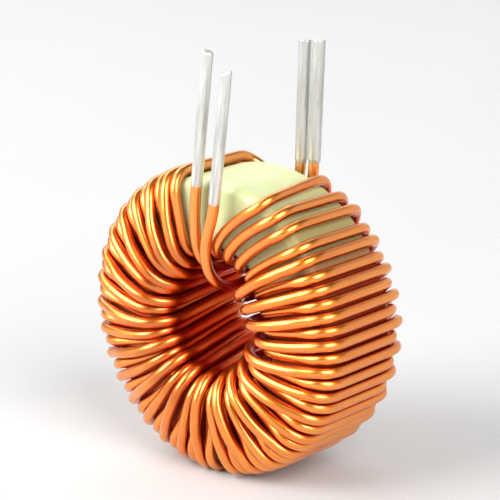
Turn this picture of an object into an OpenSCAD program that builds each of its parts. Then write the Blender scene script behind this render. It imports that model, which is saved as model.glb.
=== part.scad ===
// Toroidal inductor: a powder-coated ring core with a two-strand winding and four tinned leads.
// The origin is the centre of the ring. The ring's axis is Y, and the leads point up, along +Z.

/* [Core] */
// Outer diameter of the coated ring
core_od = 33.8; // [29:0.1:41]
// Diameter of the hole through the ring
core_id = 17.6; // [17:0.1:21.5]
// Height of the ring along its axis
core_h = 11.6; // [8:0.1:16]
// Radius of the ring's rounded edges
core_edge = 1.2; // [0.6:0.1:1.6]

/* [Wire] */
// Diameter of the wire over its enamel
wire_d = 1.27; // [0.9:0.01:1.29]
// Thickness of the enamel
enamel_t = 0.035; // [0.02:0.005:0.06]
// Thickness of the solder on the bared copper
tin_t = 0.08; // [0.04:0.01:0.12]

/* [Winding] */
// Turns in each of the two strands
turns = 30; // [24:1:30]
// Gap between the wire and the core's coating at the hole and the faces
seat_gap = 0.05; // [0.02:0.01:0.1]
// Slack of the wire round the outside of the ring
outer_slack = 0.15; // [0.05:0.01:0.4]
// Angle of the first pass round the outside, up from +X
first_angle = 63; // [60:1:66]
// Pass after which a little of the core is left bare at the bottom
gap_pass = 27; // [23:1:29]
// Angles of the bare stretch's two edges
gap_from = -79.5; // [-81:0.5:-78]
gap_to = -89; // [-92:0.5:-88]
// Angle of the last pass round the outside
last_angle = -253; // [-255:1:-251]
// Angle of the first and the last pass through the hole
first_hole_angle = 84; // [83:1:86]
last_hole_angle = -248; // [-249:1:-246]
// How far the wire turns on round the axis as it goes through the hole, in degrees
hole_lean = 15; // [8:0.5:15.5]

/* [Leads] */
// Heights of the four tips above the top of the core: two at the front, two at the back
front_tip_1 = 15.1; // [10:0.1:25]
front_tip_2 = 13.3; // [10:0.1:25]
back_tip_1 = 14.7; // [10:0.1:25]
back_tip_2 = 14.9; // [10:0.1:25]
// Slope of the cut face on the second front lead's tip, in degrees
cut_angle = 32; // [0:1:40]
// Radius of the rounded rim of each tip
tip_round = 0.25; // [0.1:0.01:0.4]

/* [Hidden] */

wire_r = wire_d / 2;
copper_r = wire_r - enamel_t;
tin_r = copper_r + tin_t;
passes = 2 * turns;
core_r = core_od / 2;
hole_r = core_id / 2;

// Centre line of the wire: round the outside, on the faces, and through the hole in the first layer.
outer_r = core_r + wire_r + outer_slack;
face_y = core_h / 2 + wire_r + seat_gap;
layer_r = hole_r - wire_r - seat_gap;
bend_r = core_edge + wire_r + seat_gap;

// The second layer rests in the grooves of the first. Some of its passes sit shallow and some deep,
// each as [radius in the hole, bend radius at the hole's edge, lift off the face].
first_layer = [layer_r, bend_r, 0];
shallow = [layer_r - 0.95 * wire_d, bend_r + 0.95 * wire_d, 0.91 * wire_d];
deep = [layer_r - 1.78 * wire_d, bend_r + 1.5 * wire_d, 1.38 * wire_d];
deep_left = [layer_r - 1.58 * wire_d, bend_r + 1.5 * wire_d, 1.38 * wire_d];
shallow_from = 8;
deep_left_from = 22;
single_layer_to = 4;

// The first passes are spread wider, as a hand-wound start is.
start_gaps = [7.5, 6.8, 8.3, 5.4, 6.4, 5, 5.3, 4.9];
start_passes = len(start_gaps) + 1;
start_hole_pitch = 12.1;
right_hole_pitch = 7;
right_hole_to = 13;
first_lean = 2.4;

// Lower down, the passes lie closer together in the hole. On the left they bunch up a little outside.
low_hole_pass = 33;
low_hole_angle = -110;
left_bunch = 2.4;

function sum(list, n) = n <= 0 ? 0 : list[n - 1] + sum(list, n - 1);
function smooth(t, k) =
  let (u = min(max(t, 0), 1)) (1 - k) * u + k * (3 * u * u - 2 * u * u * u);

// Angle of pass i round the outside.
right_pitch = (first_angle - sum(start_gaps, start_passes - 1) - gap_from) / (gap_pass - start_passes);
function left_share(i) = (i - gap_pass - 1) / (passes - gap_pass - 1);
function outer_angle(i) =
  i <= start_passes ? first_angle - sum(start_gaps, i - 1) :
  i <= gap_pass ? gap_from + right_pitch * (gap_pass - i) :
  gap_to - (gap_to - last_angle) * left_share(i) - left_bunch * sin(180 * pow(left_share(i), 2));
function outer_lean(i) = i == 1 ? first_lean : 0;

// Angle of pass i through the hole, at the front and at the back.
start_hole_angle = first_hole_angle - start_hole_pitch * (single_layer_to - 1);
right_hole_angle = start_hole_angle - right_hole_pitch * (right_hole_to - single_layer_to);
low_hole_pitch = (right_hole_angle - low_hole_angle) / (low_hole_pass - right_hole_to);
left_hole_pitch = (low_hole_angle - last_hole_angle) / (passes - low_hole_pass);
function hole_angle(i) =
  i <= single_layer_to ? first_hole_angle - start_hole_pitch * (i - 1) :
  i <= right_hole_to ? start_hole_angle - right_hole_pitch * (i - single_layer_to) :
  i <= low_hole_pass ? right_hole_angle - low_hole_pitch * (i - right_hole_to) :
  low_hole_angle - left_hole_pitch * (i - low_hole_pass);

// The lean grows over the passes on the right, stays, and falls away again up the left side.
lean_from = 8;
lean_full = 28;
lean_loss = 0.4;
function lean_of(i) =
  hole_lean * min(max((i - lean_from) / (lean_full - lean_from), 0), 1)
  - lean_loss * max(i - low_hole_pass, 0);
function hole_angle_back(i) = hole_angle(i) - lean_of(i);

// Layer of pass i: even passes and the first few lie on the core, the rest over them.
function layer(i) =
  i % 2 == 0 || i <= single_layer_to ? first_layer :
  i >= shallow_from && i % 4 == 3 ? shallow :
  i < deep_left_from ? deep : deep_left;

// One run over a face, from the outside to the hole, as points [radius, angle, height off mid-plane]:
// the outer corner, a straight climb over the face that swings from one angle to the other, and the
// bend into the hole.
corner_steps = 3;
climb_steps = 3;
bend_steps = 3;
climb_power = 4;
swing_ease = 0.3;
function face_run(seat, angle_out, angle_in) =
  let (
    rho = seat[0],
    bend = seat[1],
    lift = seat[2],
    corner_lift = lift == 0 ? 0 : min(0.1 + 0.045 * abs(angle_in - angle_out), 1),
    corner_y = face_y - bend_r + corner_lift,
    climb_from = outer_r - bend_r,
    climb_to = rho + bend,
    flat = concat(
      [for (k = [0 : corner_steps]) let (a = 90 * k / corner_steps)
        [climb_from + bend_r * cos(a), corner_y + bend_r * sin(a)]],
      [for (k = [1 : climb_steps - 1]) let (t = k / climb_steps)
        [
          climb_from + (climb_to - climb_from) * t,
          face_y + corner_lift + (lift - corner_lift) * (1 - pow(1 - t, climb_power))
        ]],
      [for (k = [0 : bend_steps]) let (a = 90 * k / bend_steps)
        [rho + bend - bend * sin(a), face_y + lift - bend + bend * cos(a)]]
    ),
    swing_from = outer_r - 0.293 * bend_r,
    swing_to = rho + 0.293 * bend
  )
  [for (p = flat) let (t = (swing_from - p[0]) / (swing_from - swing_to))
    [p[0], angle_out + (angle_in - angle_out) * smooth(t, swing_ease), p[1]]];

function polar(p) = [p[0] * cos(p[1]), p[2], p[0] * sin(p[1])];
function flip(list) = [for (k = [len(list) - 1 : -1 : 0]) list[k]];
function front_run(i) =
  [for (p = face_run(layer(i), outer_angle(i), hole_angle(i))) polar([p[0], p[1], -p[2]])];
function back_run(i) =
  let (o = i - 2)
  flip([for (p = face_run(layer(i), outer_angle(o) + outer_lean(o), hole_angle_back(i))) polar(p)]);

// Smooth curve from a to b that leaves along u and arrives along v, without its first point.
function curve(a, u, b, v, steps) =
  [for (k = [1 : steps]) let (t = k / steps)
    (2 * t * t * t - 3 * t * t + 1) * a + (t * t * t - 2 * t * t + t) * u
    + (3 * t * t - 2 * t * t * t) * b + (t * t * t - t * t) * v];
function unit(v) = v / norm(v);

// Leads, each as [tip, foot of the straight part, height of the tin's lower edge].
front_y_1 = -face_y - 0.4 * wire_d;
front_y_2 = -face_y - wire_d;
lead_front_1 = [[0.7, front_y_1, core_r + front_tip_1], [-1.17, front_y_1, core_r - 1.4], core_r - 0.5];
lead_front_2 = [[4.1, front_y_2, core_r + front_tip_2], [2.15, front_y_2, core_r - 2.5], core_r - 1.95];
lead_back_1 = [[3.53, face_y, core_r + back_tip_1], [3.02, face_y, core_r], core_r + 0.5];
lead_back_2 = [[5.58, face_y, core_r + back_tip_2], [4.96, face_y, core_r + 0.3], core_r + 0.8];
function lead_dir(lead) = unit(lead[0] - lead[1]);
function lead_at(lead, z) =
  lead[1] + (lead[0] - lead[1]) * (z - lead[1][2]) / (lead[0][2] - lead[1][2]);
function tin_start(lead) = lead_at(lead, lead[2]);
function tin_length(lead) = norm(lead[0] - tin_start(lead));
// The copper stops short of the tip, inside the solder.
cap_t = 1.2;
function copper_end(lead) = lead[0] - cap_t * lead_dir(lead);

// A front lead comes down, bends through the hole as [radius, angle, bend radius, direction of the
// way down], and goes over the back face in its own seat to the last outer pass of its strand.
entry_one = [layer_r - 1.7 * wire_d, 97.2, 4, [sin(7), 0, -cos(7)]];
entry_two = [layer_r - 3.2 * wire_d, 78, 5, [0, 0, -1]];
exit_one = [[layer_r - 1.7 * wire_d, bend_r + 1.25 * wire_d, 1.26 * wire_d], 101];
exit_two = [[layer_r - 1.9 * wire_d, bend_r + 1.5 * wire_d, 1.38 * wire_d], 69];
lead_steps = 3;
entry_steps = 4;
function lead_in(lead, entry, exit, last) =
  let (
    bend = entry[2],
    down = entry[3],
    hole = polar([entry[0], entry[1], lead[1][1] + bend]),
    top = hole - bend * down - [0, bend, 0],
    reach = 1.1 * norm(top - lead[1]),
    back = flip([for (p = face_run(exit[0], 360 + outer_angle(last), exit[1])) polar(p)]),
    across = norm(back[0] - hole)
  )
  concat(
    [copper_end(lead), tin_start(lead), lead[1]],
    curve(lead[1], -reach * lead_dir(lead), top, reach * down, lead_steps),
    [for (k = [1 : entry_steps]) let (a = 90 * k / entry_steps)
      top + bend * sin(a) * down + [0, bend * (1 - cos(a)), 0]],
    curve(hole, [0, across, 0], back[0], [0, across, 0], 2),
    [for (k = [1 : len(back) - 1]) back[k]]
  );

// A back lead bends out of the hole in the first layer and climbs the back face.
function lead_out(lead, angle) =
  let (
    up = [cos(angle), 0, sin(angle)],
    foot = polar([layer_r + bend_r, angle, face_y]),
    reach = 1.05 * norm(lead[1] - foot)
  )
  concat(
    [for (k = [bend_steps : -1 : 0]) let (a = 90 * k / bend_steps)
      polar([layer_r + bend_r - bend_r * sin(a), angle, face_y - bend_r + bend_r * cos(a)])],
    curve(foot, reach * up, lead[1], reach * lead_dir(lead), lead_steps),
    [tin_start(lead), copper_end(lead)]
  );

// Whole centre line of a strand that makes every second pass, from its last pass to its first.
function strand_path(first, last, lead_a, entry, exit, lead_b) =
  concat(
    lead_in(lead_a, entry, exit, last),
    [for (i = [last : -2 : first + 2]) each concat(front_run(i), back_run(i))],
    front_run(first),
    lead_out(lead_b, hole_angle(first))
  );

// A round wire swept along a path: rings of eight points, square to the path, joined by triangles.
// A flat of each ring, and not a corner, faces the core and the next turn.
// The bared copper at both ends is thinner than the enamelled wire, with a flat shoulder between.
sides = 8;
half_step = 180 / sides;
function circle_of(centre, r, u, v) =
  [for (k = [0 : sides - 1]) let (a = half_step * (2 * k + 1)) centre + r * (cos(a) * u + sin(a) * v)];
function around(p) = let (r = norm([p[0], p[2]])) [-p[2] / r, 0, p[0] / r];
function ring(path, i, r) =
  let (
    n = len(path),
    t = unit(path[min(i + 1, n - 1)] - path[max(i - 1, 0)]),
    u = unit(cross(t, around(path[i]))),
    v = cross(t, u)
  )
  circle_of(path[i], r, u, v);
function end_ring(path, i, toward, r) =
  let (
    t = unit(path[i + toward] - path[i]) * toward,
    u = unit(cross(t, around(path[i]))),
    v = cross(t, u)
  )
  circle_of(path[i], r, u, v);

module wire(path) {
  n = len(path);
  rings = concat(
    [end_ring(path, 0, 1, copper_r), end_ring(path, 1, -1, copper_r), end_ring(path, 1, -1, wire_r)],
    [for (i = [2 : n - 3]) ring(path, i, wire_r)],
    [
      end_ring(path, n - 2, 1, wire_r), end_ring(path, n - 2, 1, copper_r),
      end_ring(path, n - 1, -1, copper_r)
    ]
  );
  count = len(rings);
  points = [for (r = rings) each r];
  skin = [for (i = [0 : count - 2]) for (k = [0 : sides - 1])
    let (
      a = i * sides + k,
      b = i * sides + (k + 1) % sides
    )
    each [[a, b, b + sides], [a, b + sides, a + sides]]];
  caps = [
    [for (k = [sides - 1 : -1 : 0]) k],
    [for (k = [0 : sides - 1]) (count - 1) * sides + k]
  ];
  polyhedron(points = points, faces = concat(skin, caps), convexity = 20);
}

module strand_one() {
  color([0.85, 0.45, 0.18])
    wire(strand_path(1, passes - 1, lead_front_1, entry_one, exit_one, lead_back_1));
}

module strand_two() {
  color([0.78, 0.38, 0.13])
    wire(strand_path(2, passes, lead_front_2, entry_two, exit_two, lead_back_2));
}

// The ring is one solid of revolution with four rounded edges.
module ring_core() {
  color([0.93, 0.96, 0.72])
    rotate([90, 0, 0])
      rotate_extrude($fn = 128)
        ring_section();
}

module ring_section() {
  x1 = hole_r + core_edge;
  x2 = core_r - core_edge;
  y2 = core_h / 2 - core_edge;
  translate([hole_r, -y2])
    square([core_r - hole_r, 2 * y2]);
  translate([x1, -core_h / 2])
    square([x2 - x1, core_h]);
  for (x = [x1, x2], y = [-y2, y2])
    translate([x, y])
      circle(r = core_edge, $fn = 48);
}

// Solder over the end of a lead: a round sleeve on the bared copper, closed by a rounded tip. It is
// drawn standing on its lower edge and set in place along the lead.
module tinned_end(lead, slope = 0) {
  dir = lead_dir(lead);
  base = tin_start(lead);
  side = [0, 1, 0];
  cross_dir = cross(dir, side);
  height = tin_length(lead);
  color([0.88, 0.88, 0.86])
    multmatrix([
      [side[0], cross_dir[0], dir[0], base[0]],
      [side[1], cross_dir[1], dir[1], base[1]],
      [side[2], cross_dir[2], dir[2], base[2]],
      [0, 0, 0, 1]
    ])
      difference() {
        rotate_extrude($fn = 64)
          tip_section(height);
        translate([0, 0, -1])
          rotate(half_step)
            cylinder(r = copper_r, h = height - cap_t + 1, $fn = sides);
        if (slope > 0)
          translate([0, 0, height])
            rotate([-slope, 0, 0])
              translate([-tin_r * 2, -tin_r * 4, 0])
                cube([tin_r * 4, tin_r * 8, tin_r * 4]);
      }
}

module tip_section(height) {
  square([tin_r, height - tip_round]);
  square([tin_r - tip_round, height]);
  translate([tin_r - tip_round, height - tip_round])
    intersection() {
      circle(r = tip_round, $fn = 32);
      translate([-tip_round, -tip_round])
        square(2 * tip_round);
    }
}

module tinned_end_front_1() {
  tinned_end(lead_front_1);
}

module tinned_end_front_2() {
  tinned_end(lead_front_2, cut_angle);
}

module tinned_end_back_1() {
  tinned_end(lead_back_1);
}

module tinned_end_back_2() {
  tinned_end(lead_back_2);
}

ring_core();
strand_one();
strand_two();
tinned_end_front_1();
tinned_end_front_2();
tinned_end_back_1();
tinned_end_back_2();
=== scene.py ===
import math

import bpy
import numpy as np
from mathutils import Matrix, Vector


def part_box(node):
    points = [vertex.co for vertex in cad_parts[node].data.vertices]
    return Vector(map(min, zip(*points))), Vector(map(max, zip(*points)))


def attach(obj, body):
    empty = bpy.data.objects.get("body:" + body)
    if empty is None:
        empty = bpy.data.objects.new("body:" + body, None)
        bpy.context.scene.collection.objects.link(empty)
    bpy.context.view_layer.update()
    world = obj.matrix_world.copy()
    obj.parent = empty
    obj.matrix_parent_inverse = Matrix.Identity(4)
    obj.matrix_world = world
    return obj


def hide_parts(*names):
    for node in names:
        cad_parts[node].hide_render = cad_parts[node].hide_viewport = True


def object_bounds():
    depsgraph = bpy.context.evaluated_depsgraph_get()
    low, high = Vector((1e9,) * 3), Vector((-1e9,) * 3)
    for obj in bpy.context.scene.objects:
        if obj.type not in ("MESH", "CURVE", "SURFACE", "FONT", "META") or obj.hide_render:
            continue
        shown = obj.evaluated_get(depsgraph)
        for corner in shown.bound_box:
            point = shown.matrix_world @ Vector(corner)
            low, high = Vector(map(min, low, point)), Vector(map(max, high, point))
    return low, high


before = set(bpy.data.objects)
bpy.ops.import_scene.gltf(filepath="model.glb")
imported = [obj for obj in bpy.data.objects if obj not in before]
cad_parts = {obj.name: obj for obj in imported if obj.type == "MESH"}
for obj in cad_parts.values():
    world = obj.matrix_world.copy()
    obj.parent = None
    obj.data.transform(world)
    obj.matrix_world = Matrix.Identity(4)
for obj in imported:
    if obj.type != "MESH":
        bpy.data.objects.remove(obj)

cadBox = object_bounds()
mm = 0.001  # shapes are worked out in millimetres and stored in metres

# ---- meshes ----


def skin(name, grid, closedRows=False, poles=None, coords=None):
    # A closed sheet over a grid of points [row, column]: columns go round and meet, rows either meet too or
    # end in one point each (poles), joined by a fan of triangles. coords gives each point's place on the map.
    rows, columns = grid.shape[:2]
    index = np.arange(rows * columns).reshape(rows, columns)
    lower = index if closedRows else index[:-1]
    upper = np.roll(index, -1, 0) if closedRows else index[1:]
    quads = np.stack([lower, np.roll(lower, -1, 1), np.roll(upper, -1, 1), upper], -1).reshape(-1, 4)
    points = grid.reshape(-1, 3)
    corners, sizes = quads.ravel(), np.full(len(quads), 4)
    if poles is not None:
        first, last = len(points), len(points) + 1
        points = np.concatenate([points, poles])
        low, high = index[0], index[-1]
        fans = np.concatenate([
            np.stack([np.roll(low, -1), low, np.full(columns, first)], -1),
            np.stack([high, np.roll(high, -1), np.full(columns, last)], -1),
        ])
        corners = np.concatenate([corners, fans.ravel()])
        sizes = np.concatenate([sizes, np.full(len(fans), 3)])
    mesh = bpy.data.meshes.new(name)
    mesh.vertices.add(len(points))
    mesh.vertices.foreach_set("co", (points * mm).astype(np.float32).ravel())
    mesh.loops.add(len(corners))
    mesh.loops.foreach_set("vertex_index", corners.astype(np.int32))
    mesh.polygons.add(len(sizes))
    mesh.polygons.foreach_set("loop_start", np.concatenate([[0], np.cumsum(sizes)[:-1]]).astype(np.int32))
    mesh.polygons.foreach_set("loop_total", sizes.astype(np.int32))
    mesh.polygons.foreach_set("use_smooth", np.ones(len(sizes), bool))
    if coords is not None:
        layer = mesh.uv_layers.new(name="surfaceMap")
        flat = coords.reshape(-1, 2)
        if poles is not None:
            flat = np.concatenate([flat, flat[:1], flat[-1:]])
        placed = flat[corners]
        closing = np.zeros(len(corners), bool)  # the corners that close the last column lie one whole turn on
        block = np.zeros((len(quads) // columns, columns, 4), bool)
        block[:, -1, 1:3] = True
        closing[: len(quads) * 4] = block.ravel()
        placed[closing, 0] += 1
        layer.data.foreach_set("uv", placed.astype(np.float32).ravel())
    mesh.update(calc_edges=True)
    mesh.validate()
    piece = bpy.data.objects.new(name, mesh)
    bpy.context.scene.collection.objects.link(piece)
    return piece


def lengthAlong(path):
    return np.concatenate([[0], np.cumsum(np.linalg.norm(np.diff(path, axis=0), axis=1))])


def spread(path, step):
    # The same line with its points a fixed length apart.
    run = lengthAlong(path)
    at = np.linspace(0, run[-1], int(round(run[-1] / step)) + 1)
    return np.stack([np.interp(at, run, path[:, k]) for k in range(3)], 1)


def bellMean(path, step, sigma):
    # Each point becomes the bell-weighted mean of its neighbours along the line. Both ends carry on straight.
    reach = int(round(3 * sigma / step))
    bell = np.exp(-0.5 * (np.arange(-reach, reach + 1) * step / sigma) ** 2)
    bell /= bell.sum()
    ahead = np.arange(1, reach + 1)[:, None]
    before = path[0] - ahead[::-1] * (path[1] - path[0])
    after = path[-1] + ahead * (path[-1] - path[-2])
    padded = np.concatenate([before, path, after])
    return np.stack([np.convolve(padded[:, k], bell, "valid") for k in range(3)], 1)


def relax(path):
    # Rounds every kink of a wire's line: little near the hole, where it is drawn tight over the core, and more
    # outside, where it springs back.
    w = winding
    path = spread(path, w["relaxStep"])
    tight, loose = (bellMean(path, w["relaxStep"], w[sigma]) for sigma in ("tightSigma", "looseSigma"))
    share = np.clip((np.hypot(path[:, 0], path[:, 2]) - w["looseFrom"]) / w["looseOver"], 0, 1)[:, None]
    return tight + (loose - tight) * share


def unit(v):
    return v / np.linalg.norm(v, axis=-1, keepdims=True)


def ripple(seed, count, waves, *places):
    # A gentle wave field: the sum of count sines over the square root of count. Each draws a phase and a wave
    # number along each place, which is whole where its limit is whole, so that the field closes round a turn.
    draw = np.random.default_rng(seed)
    total = 0
    for _ in range(count):
        phase = draw.uniform(0, 2 * np.pi)
        steps = [draw.integers(-w, w + 1) if isinstance(w, int) else draw.uniform(-w, w) for w in waves]
        total = total + np.sin(phase + sum(step * place for step, place in zip(steps, places)))
    return total / math.sqrt(count)


# ---- the winding ----

winding = {  # millimetres, and degrees up from +X; a pass is one trip through the hole, counted from the right
    "wireRadius": 0.635,
    "seatGap": 0.05,
    "outerSlack": 0.22,
    "coreEdge": 1.2,
    "holeRadius": 8.8,
    "turns": 30,  # of each strand
    # round the outside: wide steps, the bare stretch at the bottom, and a slight bunching up the left
    "firstAngle": 63,
    "startGaps": [7.5, 6.8, 8.3, 5.4, 6.4, 5, 5.3, 4.9],
    "gapPass": 27,
    "gapFrom": -79.5,
    "gapTo": -89,
    "lastAngle": -253,
    "leftBunch": 2.4,
    # through the hole: passes to which each pitch holds
    "firstHoleAngle": 84,
    "startHolePitch": 12.1,
    "singleLayerTo": 4,
    "rightHolePitch": 7,
    "rightHoleTo": 13,
    "lowHolePass": 33,
    "lowHoleAngle": -110,
    "lastHoleAngle": -248,
    # the second layer
    "shallowFrom": 8,
    "deepLeftFrom": 22,
    "cornerLift": 0.1,
    "cornerLiftPerDegree": 0.045,
    "cornerLiftMost": 1,
    # turn from the front of the hole to its back
    "holeLean": 15,
    "leanFrom": 8,
    "leanFull": 28,
    "leanLoss": 0.4,
    "firstLean": 2.4,
    # one run over a face
    "outerBend": 2.4,
    "climbPower": 3,
    "evenSwing": 0.7,
    "swingFrom": 0.707,
    "swingTo": 0.293,
    "bendSteps": 13,
    "climbSteps": 17,
    # the rounding of kinks
    "relaxStep": 0.1,
    "tightSigma": 0.35,
    "looseSigma": 0.7,
    "looseFrom": 10.5,
    "looseOver": 3,
    # the mesh
    "sides": 20,
    "ringStep": 0.31,
}

coreRadius, coreHalf = (np.array(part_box("ring_core")[1]) / mm)[:2]
wireRadius = winding["wireRadius"]
wireWidth = 2 * wireRadius
faceHeight = coreHalf + wireRadius + winding["seatGap"]
layerRadius = winding["holeRadius"] - wireRadius - winding["seatGap"]
cornerBend = winding["coreEdge"] + wireRadius + winding["seatGap"]
bendInset = winding["outerBend"] - wireRadius - winding["outerSlack"]  # the wire springs a little off the edge
passes = 2 * winding["turns"]


def seat(inward, bend, lift):
    # Where a pass lies in the hole: its radius there, its bend at the hole's edge and its lift off the face.
    return layerRadius - inward * wireWidth, cornerBend + bend * wireWidth, lift * wireWidth


firstLayer, shallow = seat(0, 0, 0), seat(0.95, 0.95, 0.91)
deep, deepLeft = seat(1.78, 1.5, 1.38), seat(1.58, 1.5, 1.38)


def seatOf(i):
    # Even passes and the first few lie on the core, the rest in the grooves above them.
    if i % 2 == 0 or i <= winding["singleLayerTo"]:
        return firstLayer
    if i >= winding["shallowFrom"] and i % 4 == 3:
        return shallow
    return deep if i < winding["deepLeftFrom"] else deepLeft


def outerAngle(i):
    # Pass i round the outside: wide steps first, then even steps down to the bare stretch and on from it.
    w = winding
    startPasses = len(w["startGaps"]) + 1
    if i <= startPasses:
        return w["firstAngle"] - sum(w["startGaps"][: i - 1])
    if i <= w["gapPass"]:
        pitch = (w["firstAngle"] - sum(w["startGaps"]) - w["gapFrom"]) / (w["gapPass"] - startPasses)
        return w["gapFrom"] + pitch * (w["gapPass"] - i)
    share = (i - w["gapPass"] - 1) / (passes - w["gapPass"] - 1)
    return w["gapTo"] - (w["gapTo"] - w["lastAngle"]) * share - w["leftBunch"] * math.sin(math.pi * share**2)


def holeAngle(i):
    # Pass i through the hole, with its own pitch at the start, on the right and on the left.
    w = winding
    startEnd = w["firstHoleAngle"] - w["startHolePitch"] * (w["singleLayerTo"] - 1)
    rightEnd = startEnd - w["rightHolePitch"] * (w["rightHoleTo"] - w["singleLayerTo"])
    if i <= w["singleLayerTo"]:
        return w["firstHoleAngle"] - w["startHolePitch"] * (i - 1)
    if i <= w["rightHoleTo"]:
        return startEnd - w["rightHolePitch"] * (i - w["singleLayerTo"])
    low = w["lowHoleAngle"]
    if i <= w["lowHolePass"]:
        return rightEnd - (rightEnd - low) / (w["lowHolePass"] - w["rightHoleTo"]) * (i - w["rightHoleTo"])
    return low - (low - w["lastHoleAngle"]) / (passes - w["lowHolePass"]) * (i - w["lowHolePass"])


def leanOf(i):
    # How far pass i turns on round the hole between its front and its back: it grows, stays, then falls away.
    w = winding
    grown = min(max((i - w["leanFrom"]) / (w["leanFull"] - w["leanFrom"]), 0), 1)
    return w["holeLean"] * grown - w["leanLoss"] * max(i - w["lowHolePass"], 0)


def faceRun(place, angleOut, angleIn):
    # One run over a face as [radius, angle, height]: a quarter turn round the outer corner, a climb that rises as
    # 1 - (1 - t)^3, and a quarter turn into the hole. The angle swings from one end to the other by the share
    # 0.7 u + 0.3 (3 u^2 - 2 u^3), where u runs from the middle of one bend to the middle of the other.
    w = winding
    hole, bend, lift = place
    cornerLift = 0
    if lift:
        swing = abs(angleIn - angleOut)
        cornerLift = min(w["cornerLift"] + w["cornerLiftPerDegree"] * swing, w["cornerLiftMost"])
    quarter = np.linspace(0, np.pi / 2, w["bendSteps"])
    t = np.linspace(0, 1, w["climbSteps"])[1:-1]
    outerBend = w["outerBend"]
    start, end = coreRadius - bendInset, hole + bend
    radius = np.concatenate([
        start + outerBend * np.cos(quarter), start + (end - start) * t, end - bend * np.sin(quarter)
    ])
    low = coreHalf - bendInset + cornerLift
    climb = 1 - (1 - t) ** w["climbPower"]
    height = np.concatenate([
        low + outerBend * np.sin(quarter),
        low + outerBend + (faceHeight + lift - low - outerBend) * climb,
        faceHeight + lift - bend + bend * np.cos(quarter),
    ])
    swingFrom, swingTo = start + w["swingFrom"] * outerBend, hole + w["swingTo"] * bend
    u = np.clip((swingFrom - radius) / (swingFrom - swingTo), 0, 1)
    even = w["evenSwing"]
    angle = angleOut + (angleIn - angleOut) * (even * u + (1 - even) * (3 * u**2 - 2 * u**3))
    return np.stack([radius, angle, height], 1)


def polar(run):
    # From [radius, angle, height] to x, y and z. The ring's axis is Y.
    radius, angle, height = np.asarray(run, float).T
    return np.stack([radius * np.cos(np.radians(angle)), height, radius * np.sin(np.radians(angle))], -1)


def frontRun(i):
    # Pass i over the front face, from the outside into the hole.
    return polar(faceRun(seatOf(i), outerAngle(i), holeAngle(i)) * [1, 1, -1])


def backRun(i):
    # Pass i over the back face, out of the hole and to the strand's next place outside, two passes on.
    outside = i - 2
    lean = winding["firstLean"] if outside == 1 else 0
    return polar(faceRun(seatOf(i), outerAngle(outside) + lean, holeAngle(i) - leanOf(i)))[::-1]


# ---- the leads ----

leads = {  # points as [x, wire widths along Y from the first layer, height above the top of the core]
    "frontOne": {"tip": [0.7, -0.4, 15.1], "foot": [-1.17, -0.4, -1.4], "tin": -0.5},
    "frontTwo": {"tip": [4.1, -1, 13.3], "foot": [2.15, -1, -2.5], "tin": -1.95},
    "backOne": {"tip": [3.53, 0, 14.7], "foot": [3.02, 0, 0], "tin": 0.5},
    "backTwo": {"tip": [5.58, 0, 14.9], "foot": [4.96, 0, 0.3], "tin": 0.8},
}
entries = {  # how a front lead dips into the hole, tilted off straight down; then its seat and angle at the back
    "frontOne": {
        "inward": 1.7, "angle": 97.2, "bend": 4, "tilt": 7, "seat": seat(1.7, 1.25, 1.26), "backAngle": 101
    },
    "frontTwo": {
        "inward": 3.2, "angle": 78, "bend": 5, "tilt": 0, "seat": seat(1.9, 1.5, 1.38), "backAngle": 69
    },
}
leadShape = {
    "pullIn": 1.1,  # pull of each curve's ends over its length
    "pullOut": 1.05,
    "intoTin": 1.5,  # how far the wire runs on inside its tin
    "curveSteps": 24,
    "dipSteps": 16,
}


def leadLine(name):
    # Tip, foot of the straight part, and lower edge of the tin, from heights above the top of the core.
    lead = leads[name]
    side = -faceHeight if name.startswith("front") else faceHeight
    tip, foot = (np.array([p[0], side + p[1] * wireWidth, coreRadius + p[2]]) for p in (lead["tip"], lead["foot"]))
    edge = foot + (tip - foot) * (coreRadius + lead["tin"] - foot[2]) / (tip[2] - foot[2])
    return tip, foot, edge


def curve(a, u, b, v):
    # Cubic from a to b that leaves along u and arrives along v.
    t = np.linspace(0, 1, leadShape["curveSteps"] + 1)[1:, None]
    return ((2 * t**3 - 3 * t**2 + 1) * a + (t**3 - 2 * t**2 + t) * u
            + (3 * t**2 - 2 * t**3) * b + (t**3 - t**2) * v)


def leadIn(name, last):
    # From a front lead's tin, down the face, through the hole, and over the back to the last pass.
    tip, foot, edge = leadLine(name)
    entry = entries[name]
    bend, tilt = entry["bend"], math.radians(entry["tilt"])
    down = np.array([math.sin(tilt), 0, -math.cos(tilt)])
    hole = polar([[layerRadius - entry["inward"] * wireWidth, entry["angle"], foot[1] + bend]])[0]
    top = hole - bend * down - np.array([0, bend, 0])
    reach = leadShape["pullIn"] * np.linalg.norm(top - foot)
    back = polar(faceRun(entry["seat"], 360 + outerAngle(last), entry["backAngle"]))[::-1]
    across = np.array([0, np.linalg.norm(back[0] - hole), 0])
    quarter = np.linspace(0, np.pi / 2, leadShape["dipSteps"] + 1)[1:, None]
    return np.concatenate([
        [edge + unit(tip - foot) * leadShape["intoTin"], foot],
        curve(foot, reach * unit(foot - tip), top, reach * down),
        top + bend * np.sin(quarter) * down + bend * (1 - np.cos(quarter)) * np.array([0, 1, 0]),
        curve(hole, across, back[0], across),
        back[1:],
    ])


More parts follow.
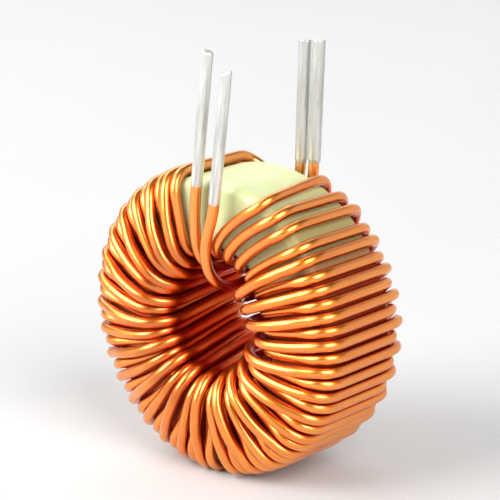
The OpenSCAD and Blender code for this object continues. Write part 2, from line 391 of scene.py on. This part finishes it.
def leadOut(name, angle):
    # From the first pass in the hole, round its edge at the back, and up to a back lead's tin.
    tip, foot, edge = leadLine(name)
    quarter = np.linspace(np.pi / 2, 0, winding["bendSteps"])
    bend = polar(np.stack([
        layerRadius + cornerBend * (1 - np.sin(quarter)),
        np.full(len(quarter), angle),
        faceHeight - cornerBend + cornerBend * np.cos(quarter),
    ], 1))
    up = polar([[1, angle, 0]])[0]
    reach = leadShape["pullOut"] * np.linalg.norm(foot - bend[-1])
    return np.concatenate([
        bend,
        curve(bend[-1], reach * up, foot, reach * unit(tip - foot)),
        [edge + unit(tip - foot) * leadShape["intoTin"]],
    ])


def strandPath(first, leadA, leadB):
    # Down one lead, round the ring from the last pass to the first, and up the other lead.
    last = passes - 2 + first
    loops = [run for i in range(last, first, -2) for run in (frontRun(i), backRun(i))]
    return np.concatenate([leadIn(leadA, last), *loops, frontRun(first), leadOut(leadB, holeAngle(first))])


def sweep(name, path, radius, sides):
    # A round wire: circles square to the path, turned so that their first point keeps to one side of the ring.
    tangent = unit(np.gradient(path, axis=0))
    roundRing = unit(np.stack([-path[:, 2], 0 * path[:, 0], path[:, 0]], 1))
    u = unit(np.cross(tangent, roundRing))
    v = np.cross(tangent, u)
    turn = 2 * np.pi * np.arange(sides) / sides
    circle = np.cos(turn)[None, :, None] * u[:, None] + np.sin(turn)[None, :, None] * v[:, None]
    grid = path[:, None] + radius * circle
    along = lengthAlong(path)
    coords = np.stack(np.broadcast_arrays(np.arange(sides)[None] / sides, along[:, None]), -1)
    return skin(name, grid, poles=path[[0, -1]], coords=coords)


strands = []
for name, node, first, leadA, leadB in [
    ("windingStrandOne", "strand_one", 1, "frontOne", "backOne"),
    ("windingStrandTwo", "strand_two", 2, "frontTwo", "backTwo"),
]:
    centreLine = relax(strandPath(first, leadA, leadB))
    strand = sweep(name, spread(centreLine, winding["ringStep"]), wireRadius, winding["sides"])
    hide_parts(node)
    strands.append(strand)
    print(name, "length", round(lengthAlong(centreLine)[-1], 1), "mm,", len(strand.data.polygons), "faces")

# ---- the tinned ends ----

tinning = {
    "hidden": 0.5,  # how far the sleeve starts below its edge, inside the wire
    "sides": 40,
    "rows": 90,
    "edgeRows": 14,
    "edgeShare": 0.12,  # share of the length that the edge rows take
    "capRows": 10,
    "capRings": [0.8, 0.6, 0.4, 0.2],
    "undersize": 0.02,  # of the sleeve inside the wire
    "swellFrom": 0.05,
    "swellOver": 0.09,
    "taperFrom": 0.3,
    "taper": 0.3,
    "creaseRound": 0.02,
    "creaseTop": 0.14,
    # waves: what is added to the seed, count, wave numbers, height
    "edgeWave": (0, 5, (3,), 0.06),
    "longRidges": (20, 6, (5, 0.25), 0.010),
    "shortRidges": (40, 6, (3, 1.6), 0.006),
    "capRidges": (60, 5, (3, 6.0), 0.012),
}
tips = {  # how the end is cut: slope of the face, the way that it falls, its pinch; then thickness and round rim
    "frontOne": {"slope": 0.12, "falls": 15, "pinch": 0.22, "radius": 0.68, "rim": 0.36, "seed": 11},
    "frontTwo": {"slope": 0.62, "falls": 195, "pinch": 0.0, "radius": 0.68, "rim": 0.10, "seed": 12},
    "backOne": {"slope": 0.05, "falls": 100, "pinch": 0.0, "radius": 0.74, "rim": 0.12, "seed": 13},
    "backTwo": {"slope": 0.04, "falls": 300, "pinch": 0.0, "radius": 0.75, "rim": 0.12, "seed": 14},
}


def tinnedEnd(name, lead):
    # A sleeve of solder in [length, turn]: it swells out of the wire at a wavy edge, carries faint ridges, and is
    # closed by rings that run in to the axis over the cut face z = top - slope * x, rounded off at the rim.
    tip, foot, edge = leadLine(lead)
    shape, t = tips[lead], tinning
    outer = shape["radius"]
    axis = unit(tip - foot)
    side = np.array([0, 1.0, 0])
    across = np.cross(side, axis)
    length = np.linalg.norm(tip - edge)
    turn = (2 * np.pi * np.arange(t["sides"]) / t["sides"])[None]
    edgeRows, edgeShare = t["edgeRows"], t["edgeShare"]
    down = np.concatenate([
        np.linspace(0, edgeShare, edgeRows)[:-1], np.linspace(edgeShare, 1, t["rows"] - edgeRows + 1)
    ])[:, None]
    fall = math.radians(shape["falls"])

    def face(x, y):
        # The cut: a slope, less a pinch that grows away from a crease as the root of crease^2 + 0.02.
        slide = x * math.cos(fall) + y * math.sin(fall)
        crease = -x * math.sin(fall) + y * math.cos(fall)
        ridge = np.sqrt(crease**2 + t["creaseRound"]) - t["creaseTop"]
        return length - shape["slope"] * (slide + outer) - shape["pinch"] * ridge

    def waves(kind, *places):
        added, count, limits, tall = t[kind]
        return tall * ripple(shape["seed"] + added, count, limits, *places)

    edgeWave = waves("edgeWave", turn)
    low = -t["hidden"] + edgeWave
    z = low + down * (face(outer * np.cos(turn), outer * np.sin(turn)) - shape["rim"] - low)
    above = z - edgeWave  # height over the wavy edge
    swell = 1 / (1 + np.exp(-(above + t["swellFrom"]) / t["swellOver"]))
    ridges = waves("longRidges", turn, z) + waves("shortRidges", turn, z)
    radius = wireRadius - t["undersize"] + swell * (outer - wireRadius + t["undersize"] + ridges)
    radius = np.where(above < -t["taperFrom"], radius - t["taper"] * (-t["taperFrom"] - above), radius)
    bend = np.linspace(0, np.pi / 2, t["capRows"])[1:, None]
    rimRadius = radius[-1:] - shape["rim"] * (1 - np.cos(bend))
    rimZ = z[-1:] + shape["rim"] * np.sin(bend)
    capRadius = rimRadius[-1:] * np.array(t["capRings"])[:, None]
    capZ = face(capRadius * np.cos(turn), capRadius * np.sin(turn)) + waves("capRidges", turn, capRadius)
    radius = np.concatenate([radius, rimRadius, capRadius])
    z = np.concatenate([z, rimZ, capZ])
    out = np.cos(turn)[..., None] * across + np.sin(turn)[..., None] * side
    grid = edge + z[..., None] * axis + radius[..., None] * out
    poles = np.array([grid[0].mean(0), edge + axis * face(0.0, 0.0)])
    coords = np.stack(np.broadcast_arrays(turn / (2 * np.pi), z), -1)
    return skin(name, grid, poles=poles, coords=coords)


tinned = []
for name, node, lead in [
    ("tinnedEndFrontOne", "tinned_end_front_1", "frontOne"),
    ("tinnedEndFrontTwo", "tinned_end_front_2", "frontTwo"),
    ("tinnedEndBackOne", "tinned_end_back_1", "backOne"),
    ("tinnedEndBackTwo", "tinned_end_back_2", "backTwo"),
]:
    piece = tinnedEnd(name, lead)
    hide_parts(node)
    tinned.append(piece)
print("tinned ends:", [len(piece.data.polygons) for piece in tinned], "faces")

# ---- the core ----

coreShape = {
    "arcRows": 14,
    "flatRows": 26,
    "wallRows": 30,
    "columns": 360,
    "waves": [(3, 7, (9, 5), 0.010), (4, 9, (40, 22), 0.006)],  # seed, count, wave numbers, height
}


def coatedCore(name):
    # The coated ring: a rectangle with rounded corners turned about Y, its coat a little thicker and thinner
    # in slow waves round the ring and round the section.
    shape, edgeRadius = coreShape, winding["coreEdge"]
    inner, outer = winding["holeRadius"] + edgeRadius, coreRadius - edgeRadius
    top = coreHalf - edgeRadius
    centres = [(outer, top), (inner, top), (inner, -top), (outer, -top)]
    parts = []
    for k, centre in enumerate(centres):
        a = np.radians(np.linspace(k * 90, (k + 1) * 90, shape["arcRows"]))
        arc = centre + edgeRadius * np.stack([np.cos(a), np.sin(a)], 1)
        end = centres[(k + 1) % 4] + edgeRadius * np.array([math.cos(a[-1]), math.sin(a[-1])])
        rows = shape["flatRows"] if k % 2 == 0 else shape["wallRows"]
        f = np.linspace(0, 1, rows)[1:-1, None]
        parts += [arc, arc[-1] + (end - arc[-1]) * f]
    section = np.concatenate(parts)
    run = lengthAlong(np.concatenate([section, section[:1]]))
    share = (run[:-1] / run[-1] * 2 * np.pi)[:, None]
    tangent = unit(np.roll(section, -1, 0) - np.roll(section, 1, 0))
    outward = np.stack([tangent[:, 1], -tangent[:, 0]], 1)
    turn = (2 * np.pi * np.arange(shape["columns"]) / shape["columns"])[None]
    push = sum(tall * ripple(seed, count, waves, turn, share) for seed, count, waves, tall in shape["waves"])
    radius = section[:, None, 0] + outward[:, None, 0] * push
    height = section[:, None, 1] + outward[:, None, 1] * push
    grid = np.stack([radius * np.cos(turn), height, radius * np.sin(turn)], -1)
    return skin(name, grid[::-1], closedRows=True)


core = coatedCore("coatedCore")
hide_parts("ring_core")
print("core:", len(core.data.polygons), "faces")

# ---- materials ----


class Socket:  # one socket of a node tree; sums and products of sockets add Math nodes
    def __init__(self, tree, socket=None):
        self.tree, self.socket = tree, socket

    def node(self, kind, settings=None, inputs=None, output=0):
        # Any node: its type, its settings, the values or links of its sockets, and which output comes back.
        made = self.tree.nodes.new("ShaderNode" + kind)
        for name, value in (settings or {}).items():
            if name == "stops":
                elements = made.color_ramp.elements
                elements[0].position, elements[0].color = value[0]
                elements[1].position, elements[1].color = value[-1]
                for place, colour in value[1:-1]:
                    elements.new(place).color = colour
            else:
                setattr(made, name, value)
        for name, value in (inputs or {}).items():
            if isinstance(value, Socket):
                self.tree.links.new(value.socket, made.inputs[name])
            else:
                made.inputs[name].default_value = value
        return Socket(self.tree, made.outputs[output] if made.outputs else None)

    def math(self, operation, a, b=0.0):
        return self.node("Math", {"operation": operation}, {0: a, 1: b})

    def __add__(self, other):
        return self.math("ADD", self, other)

    def __sub__(self, other):
        return self.math("SUBTRACT", self, other)

    def __mul__(self, other):
        return self.math("MULTIPLY", self, other)

    def __truediv__(self, other):
        return self.math("DIVIDE", self, other)

    def __rsub__(self, other):
        return self.math("SUBTRACT", other, self)

    __radd__ = __add__
    __rmul__ = __mul__

    def blend(self, low, high):  # 0 below low, 1 above high, smooth between
        return self.node("MapRange", {"interpolation_type": "SMOOTHSTEP"},
                         {"Value": self, "From Min": low, "From Max": high})

    def mix(self, a, b):  # colour a where this is 0 and b where it is 1
        return self.node("Mix", {"data_type": "RGBA"}, {0: self, 6: a, 7: b}, 2)

    def noise(self, sizes, detail, roughness):  # sizes are its cells for each unit of this place
        return self.node("TexNoise", None, {
            "Vector": self.stretch(sizes), "Scale": 1.0, "Detail": detail, "Roughness": roughness})

    def bump(self, strength, distance):  # a normal from this height
        return self.node("Bump", None, {"Strength": strength, "Distance": distance, "Height": self})

    def stretch(self, sizes):
        return self.node("Mapping", None, {"Vector": self, "Scale": sizes})

    def part(self, k):  # x, y or z
        return self.node("SeparateXYZ", None, {0: self}, k)


def rgb(red, green, blue):
    return (red, green, blue, 1.0)


def newMaterial(name, constants):
    # A material of one Principled shader with its constants set, and the place on the piece in millimetres.
    material = bpy.data.materials.new(name)
    material.use_nodes = True
    tree = material.node_tree
    tree.nodes.clear()
    start = Socket(tree)
    shader = start.node("BsdfPrincipled", None, constants)
    start.node("OutputMaterial", None, {"Surface": shader})
    millimetres = start.node("TexCoord", output=3).stretch((1 / mm, 1 / mm, 1 / mm))
    return material, start, shader.socket.node, millimetres


def feed(shader, values):
    for name, value in values.items():
        value.tree.links.new(value.socket, shader.inputs[name])


def axisDistance(place):
    # Distance from the ring's axis, Y.
    return place.node("VectorMath", {"operation": "LENGTH"}, {0: place.stretch((1, 0, 1))}, 1)


copperLook = {
    "bright": rgb(0.95, 0.36, 0.060),
    "warm": rgb(0.90, 0.28, 0.035),
    "dull": rgb(0.56, 0.10, 0.010),
    # the colour that the flanks and the hole are mixed towards as painted shade
    "shade": rgb(0.56, 0.025, 0.001),
    "golden": rgb(0.88, 0.44, 0.12),
    "stained": rgb(0.52, 0.33, 0.13),
    "roughness": 0.27,
    "streakRough": 0.10,
    "scuffRough": 0.10,
    "coat": 0.9,
    "coatRoughness": 0.12,
    "coatTint": rgb(1.0, 0.90, 0.76),
    "fineShare": 0.5,
    "bump": (0.12, 0.04 * mm),
    # noises: cells for each turn round the wire and each millimetre of it, detail and roughness
    "streaks": ((34, 0.22, 1), 3.0, 0.6),
    "fine": ((120, 0.6, 1), 2.0, 0.5),
    "tone": ((1.5, 0.07, 1), 3.0, 0.55),
    "scuff": ((1.9, 1.9, 1.9), 4.0, 0.7),  # in millimetres on every axis
    # each mask is 0 at its first number and 1 at its second; places are in millimetres
    "warmTone": (0.35, 0.68),
    "dullStreak": (0.52, 0.78),
    "scuffed": (0.60, 0.72),
    # painted shade on the side of each wire that faces the core and where the turns touch
    "flankShade": (0.88, 0.42),  # over the share that faces outward
    "underTop": (16.5, 15),
    # painted shade on the wires at the hole's left rim
    "nearHole": (11.8, 9),
    "onLeft": (3, -3),
    # painted shade inside the hole, behind the face
    "inHole": (9.4, 7.4),
    "behindFace": (6.9, 4.9),
    "holeTone": (0.42, 0.56),
    "atLeads": (0.93, 0.98),  # over the sine of the angle round the ring
    "onRight": (0.5, 2),
    "atBack": (0, 2),
    # how strongly each tints; the flank, rim and hole tints are painted shade
    "streakTint": 0.45,
    "flankShadeTint": 0.8,
    "rimShadeTint": 0.55,
    "holeShadeTint": 0.50,
    "holeShadeToneTint": 0.45,
    "leadTint": 0.5,
    "stainTint": 0.6,
}


def enamelledCopper():
    # Drawn copper under clear enamel: long streaks that follow the wire, slow changes of tone and small scuffs. It
    # has painted shade: a deeper red towards the core where the turns touch, at the hole's left rim and in the
    # hole.
    # It is golden at the leads, which the soldering has stained at the back. The share that faces outward is
    # 1/2 - cos(angle round the wire) / 2.
    look = copperLook
    material, start, shader, place = newMaterial("enamelledCopper", {
        "Metallic": 1.0, "Coat Roughness": look["coatRoughness"], "Coat IOR": 1.5, "Coat Tint": look["coatTint"]})
    wireMap = start.node("UVMap", {"uv_map": "surfaceMap"})
    streaks, fine, tone = (wireMap.noise(*look[name]) for name in ("streaks", "fine", "tone"))
    scuff = place.noise(*look["scuff"]).blend(*look["scuffed"])
    x, y, z, distance = place.part(0), place.part(1), place.part(2), axisDistance(place)
    colour = tone.blend(*look["warmTone"]).mix(look["bright"], look["warm"])
    colour = (streaks.blend(*look["dullStreak"]) * look["streakTint"]).mix(colour, look["dull"])
    outward = 0.5 - start.math("COSINE", wireMap.part(0) * (2 * math.pi)) * 0.5
    # painted shade: the side facing the core and the flanks where turns touch go towards the shade colour, but not
    # above the core's top
    flankShade = outward.blend(*look["flankShade"]) * z.blend(*look["underTop"])
    colour = (flankShade * look["flankShadeTint"]).mix(colour, look["shade"])
    # painted shade: the wires near the hole's left rim, which face away from the lights, go towards the dull
    # colour
    leftRimShade = distance.blend(*look["nearHole"]) * x.blend(*look["onLeft"])
    colour = (leftRimShade * look["rimShadeTint"]).mix(colour, look["dull"])
    # painted shade in the hole, stronger on some wires than others by the slow tone; the coat is left off there
    inHole = distance.blend(*look["inHole"]) * start.math("ABSOLUTE", y).blend(*look["behindFace"])
    holeShadeTint = look["holeShadeTint"] + tone.blend(*look["holeTone"]) * look["holeShadeToneTint"]
    colour = (inHole * holeShadeTint).mix(colour, look["shade"])
    lead = (z / distance).blend(*look["atLeads"])
    colour = (lead * (1 - inHole) * look["leadTint"]).mix(colour, look["golden"])
    stain = lead * x.blend(*look["onRight"]) * y.blend(*look["atBack"])
    colour = (stain * look["stainTint"]).mix(colour, look["stained"])
    feed(shader, {
        "Base Color": colour,
        "Coat Weight": look["coat"] * (1 - inHole),
        "Roughness": look["roughness"] + streaks * look["streakRough"] + scuff * look["scuffRough"],
        "Normal": (streaks + fine * look["fineShare"]).bump(*look["bump"]),
    })
    return material


solderLook = {
    "bright": rgb(0.80, 0.80, 0.77),
    "grey": rgb(0.44, 0.44, 0.41),
    "dross": rgb(0.28, 0.28, 0.25),
    "roughness": 0.38,
    "runRough": 0.16,
    "speckRough": 0.15,
    "bump": (0.25, 0.06 * mm),
    # noises and masks, as for the copper
    "runs": ((7, 0.10, 1), 3.0, 0.55),
    "fine": ((26, 0.5, 1), 3.0, 0.6),
    "specks": ((2.4, 2.4, 1.4), 4.0, 0.7),
    "greyRun": (0.40, 0.66),
    "speckled": (0.62, 0.74),
    "atBack": (0, 2),
    "runTint": 0.8,
    "backShadeTint": 0.45,
    "speckTint": 0.45,
}


def solder():
    # Dipped solder: bright, with grey streaks that ran down the lead and a few dull specks. At the back it is
    # greyer with painted shade.
    look = solderLook
    material, start, shader, place = newMaterial("solderDip", {"Metallic": 1.0})
    leadMap = start.node("UVMap", {"uv_map": "surfaceMap"})
    runs, fine = leadMap.noise(*look["runs"]), leadMap.noise(*look["fine"])
    specks = place.noise(*look["specks"]).blend(*look["speckled"])
    colour = (runs.blend(*look["greyRun"]) * look["runTint"]).mix(look["bright"], look["grey"])
    # painted shade: the tins at the back are made greyer
    colour = (place.part(1).blend(*look["atBack"]) * look["backShadeTint"]).mix(colour, look["grey"])
    colour = (specks * look["speckTint"]).mix(colour, look["dross"])
    feed(shader, {
        "Base Color": colour,
        "Roughness": look["roughness"] + runs * look["runRough"] + specks * look["speckRough"],
        "Normal": (fine + runs).bump(*look["bump"]),
    })
    return material


coatLook = {
    "pale": rgb(0.53, 0.58, 0.30),
    "deeper": rgb(0.48, 0.52, 0.24),
    "speck": rgb(0.62, 0.60, 0.30),
    # painted shade between the wires, and lower down painted shade reddened by painted reflection off the copper
    "between": rgb(0.34, 0.29, 0.10),
    "wound": rgb(0.32, 0.03, 0.003),
    "roughness": 0.78,
    "cloudRough": 0.12,
    "bareRough": -0.36,
    "coat": 0.25,
    "coatRoughness": 0.25,
    "bump": (0.30, 0.08 * mm),
    # noises in millimetres
    "cloud": ((0.22, 0.22, 0.22), 4.0, 0.6),
    "peel": ((2.6, 2.6, 2.6), 2.0, 0.5),
    "specks": ((9, 9, 9), 2.0, 0.6),
    "cloudy": (0.35, 0.70),
    "speckled": (0.66, 0.74),
    "speckTint": 0.5,
    # masks over the sine of the angle round the ring, and over its cosine for the last three
    "open": (0.71, 0.95),
    "bare": (0.55, 0.76),
    "low": (0.0, -0.1),
    "onRight": (-0.2, 0.2),
    "rightShift": 0.12,
    "gapAt": 0.10,
    "gapSquare": (0.008, 0.003),
}


def coreCoating():
    # Epoxy powder coat: orange peel, cloudy tone and fine specks. Where the wires cover it, it has painted shade:
    # darker between the wires, and lower down a painted dark red of shade and of light reflected off the copper,
    # but for the narrow gap at the bottom.
    look = coatLook
    material, start, shader, place = newMaterial("powderCoat", {
        "IOR": 1.5, "Coat Roughness": look["coatRoughness"]})
    cloud, peel = place.noise(*look["cloud"]), place.noise(*look["peel"])
    specks = place.noise(*look["specks"]).blend(*look["speckled"])
    colour = cloud.blend(*look["cloudy"]).mix(look["pale"], look["deeper"])
    colour = (specks * look["speckTint"]).mix(colour, look["speck"])
    distance = axisDistance(place)
    rise, offGap = place.part(2) / distance, place.part(0) / distance - look["gapAt"]
    gap = (offGap * offGap).blend(*look["gapSquare"]) * rise.blend(*look["low"])
    # painted shade on the core between the wires, below its open top
    colour = rise.blend(*look["open"]).mix(look["between"], colour)
    top = (rise + offGap.blend(*look["onRight"]) * look["rightShift"]).blend(*look["bare"])
    bare = start.math("MAXIMUM", top, gap)
    # painted shade and painted copper reflection wherever the wires cover the core, but not at the top or in the
    # narrow gap at the bottom
    colour = bare.mix(look["wound"], colour)
    feed(shader, {
        "Base Color": colour,
        "Roughness": look["roughness"] + cloud * look["cloudRough"] + bare * look["bareRough"],
        "Coat Weight": bare * look["coat"],
        "Normal": peel.bump(*look["bump"]),
    })
    return material


floorLook = {
    "dark": rgb(0.51, 0.51, 0.51),
    "pale": rgb(0.53, 0.53, 0.53),
    "roughness": 0.9,
    "cloud": ((0.004, 0.004, 0.004), 3.0, 0.5),
    "cloudy": (0.3, 0.7),
}


def floorPaper():
    # Matt pale paper with a faint cloudiness.
    look = floorLook
    material, _, shader, place = newMaterial("floorPaper", {"Roughness": look["roughness"]})
    cloud = place.noise(*look["cloud"]).blend(*look["cloudy"])
    feed(shader, {"Base Color": cloud.mix(look["dark"], look["pale"])})
    return material


for pieces, material in [(strands, enamelledCopper()), (tinned, solder()), ([core], coreCoating())]:
    for piece in pieces:
        piece.data.materials.append(material)
        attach(piece, "root")
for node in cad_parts.values():
    node.data.materials.clear()
    node.data.materials.append(bpy.data.materials["powderCoat"])
print("materials:", [m.name for m in bpy.data.materials])

# ---- floor, light and camera ----

studio = {  # metres and degrees, and millimetres for the lens and its sensor
    "floorRings": [0.02, 0.1, 0.3, 0.6, 1.1],
    "floorSides": 96,
    "floorThick": 0.005,
    "worldStops": [(0.0, 0.66), (0.06, 0.88), (0.13, 0.70), (0.36, 0.08)],  # sine of the height, grey
    # the camera
    "azimuth": 40.59,
    "elevation": 15.62,
    "distance": 0.24467,
    "aimRight": 0.000625,
    "aimUp": 0.007168,
    "lens": 151.2,
    "sensor": 36,
    "clip": (0.01, 20),
}


def directionOf(azimuth, elevation):
    # From the ring towards there: azimuth 0 is the front, -Y, and 90 is +X.
    a, e = math.radians(azimuth), math.radians(elevation)
    return Vector((math.sin(a) * math.cos(e), -math.cos(a) * math.cos(e), math.sin(e)))


def floorDisc():
    # A round sheet just under the winding.
    turn = 2 * np.pi * np.arange(studio["floorSides"]) / studio["floorSides"]
    radius = np.array(studio["floorRings"])[:, None]
    level, thick = cadBox[0][2], np.array([0, 0, studio["floorThick"]])
    grid = np.stack(np.broadcast_arrays(radius * np.cos(turn), radius * np.sin(turn), level), -1)
    grid = np.concatenate([grid, grid[-1:] - thick])[:, ::-1]
    middle = np.array([0, 0, level])
    return skin("studioFloor", grid / mm, poles=np.array([middle, middle - thick]) / mm)


floor = floorDisc()
floor.data.materials.append(floorPaper())


def placeFacing(thing, back, place):
    # Puts a lamp or a camera at a place, so that it looks against the direction back.
    thing.location = place
    thing.rotation_mode = "QUATERNION"
    thing.rotation_quaternion = back.to_track_quat("Z", "Y")
    bpy.context.scene.collection.objects.link(thing)


def softbox(name, azimuth, elevation, distance, size, power):
    # A rectangle of soft white light that faces the ring from that direction.
    light = bpy.data.lights.new(name, "AREA")
    light.shape, light.size, light.size_y = "RECTANGLE", size[0], size[1]
    light.energy = power
    lamp = bpy.data.objects.new(name, light)
    lamp.visible_camera = False
    back = directionOf(azimuth, elevation)
    placeFacing(lamp, back, back * distance)


softbox("frontLeft", -29, 32, 1.5, (1.10, 1.10), 35)
softbox("frontRight", 71, 34, 1.5, (0.95, 1.10), 27)
softbox("sideLeft", -82, 46, 1.6, (0.9, 0.9), 6)
softbox("backLeft", -124, 44, 1.6, (1.2, 1.0), 9)
softbox("back", 175, 27, 1.5, (3.4, 0.76), 6.0)
softbox("overhead", 0, 88, 1.5, (1.5, 1.5), 1.0)

world = bpy.data.worlds.new("studioWorld")
world.use_nodes = True
bpy.context.scene.world = world
world.node_tree.nodes.clear()
sky = Socket(world.node_tree)
height = sky.node("TexCoord", output=0).part(2)
stops = [(at, rgb(grey, grey, grey)) for at, grey in studio["worldStops"]]
shades = sky.node("ValToRGB", {"stops": stops}, {0: height})
sky.node("OutputWorld", None, {0: sky.node("Background", None, {"Color": shades, "Strength": 1.0})})

toCamera = directionOf(studio["azimuth"], studio["elevation"])
turned = math.radians(studio["azimuth"])
rightward = Vector((math.cos(turned), math.sin(turned), 0))
upward = toCamera.cross(rightward)
cameraData = bpy.data.cameras.new("camera")
cameraData.lens, cameraData.sensor_width = studio["lens"], studio["sensor"]
cameraData.clip_start, cameraData.clip_end = studio["clip"]
camera = bpy.data.objects.new("camera", cameraData)
aim = rightward * studio["aimRight"] + upward * studio["aimUp"]
placeFacing(camera, toCamera, aim + toCamera * studio["distance"])
bpy.context.scene.camera = camera
bpy.context.scene.view_settings.view_transform = "Standard"
print("camera and", len(bpy.data.lights), "lights")
